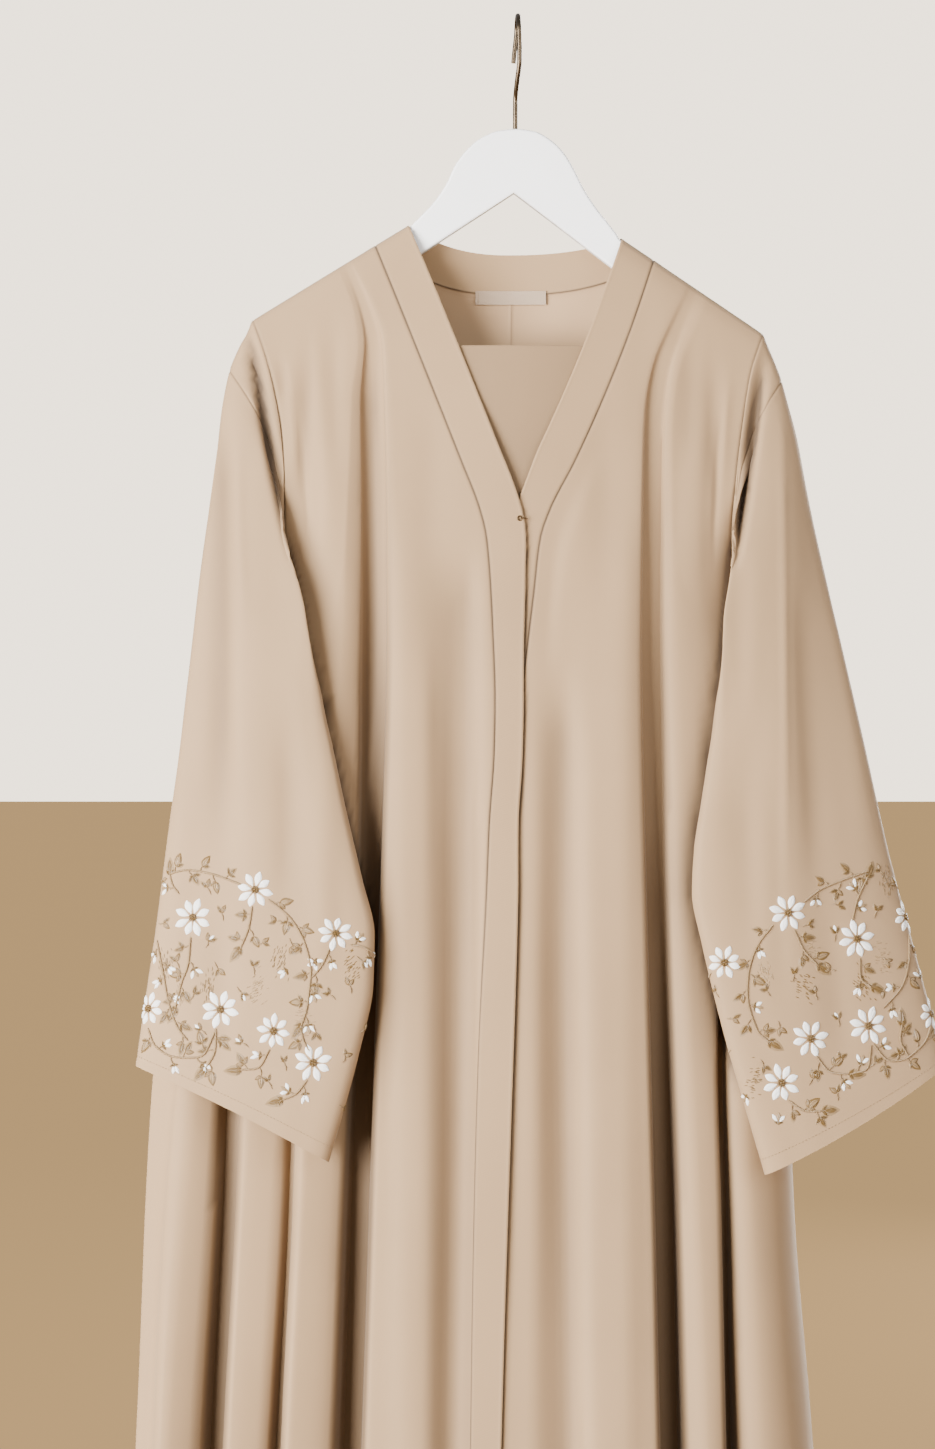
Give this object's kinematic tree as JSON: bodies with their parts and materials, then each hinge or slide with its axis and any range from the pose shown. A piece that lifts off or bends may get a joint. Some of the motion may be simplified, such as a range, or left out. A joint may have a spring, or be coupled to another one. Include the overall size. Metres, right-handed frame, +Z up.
{
  "type": "abaya cloak on a hanger",
  "caption": "Long beige open-front abaya cloak with V neckband, placket and wide embroidered sleeves, hung on a white hanger.",
  "frame": {"origin": "inner top of the hanger hook's bend, where it rests on a rail", "axes": "+Z up, +X to the viewer's right when facing the front, the front faces -Y"},
  "size_m": [0.725, 0.1878, 1.5847],
  "materials": {
    "crepe": "matte",
    "woven_label": "satin",
    "white_lacquer": "satin",
    "bronze_wire": "satin"
  },
  "bodies": {
    "root": {"back_left": "crepe", "back_right": "crepe", "band_left": "crepe", "band_right": "crepe", "clasp_eye": "bronze_wire", "clasp_hook": "bronze_wire", "front_left": "crepe", "front_right": "crepe", "hanger_body": "white_lacquer", "hanger_hook": "bronze_wire", "inner_panel": "crepe", "label": "woven_label", "neckband_back": "crepe", "sleeve_cap_left": "crepe", "sleeve_cap_right": "crepe", "sleeve_left": "crepe", "sleeve_right": "crepe"}
  },
  "joints": []
}
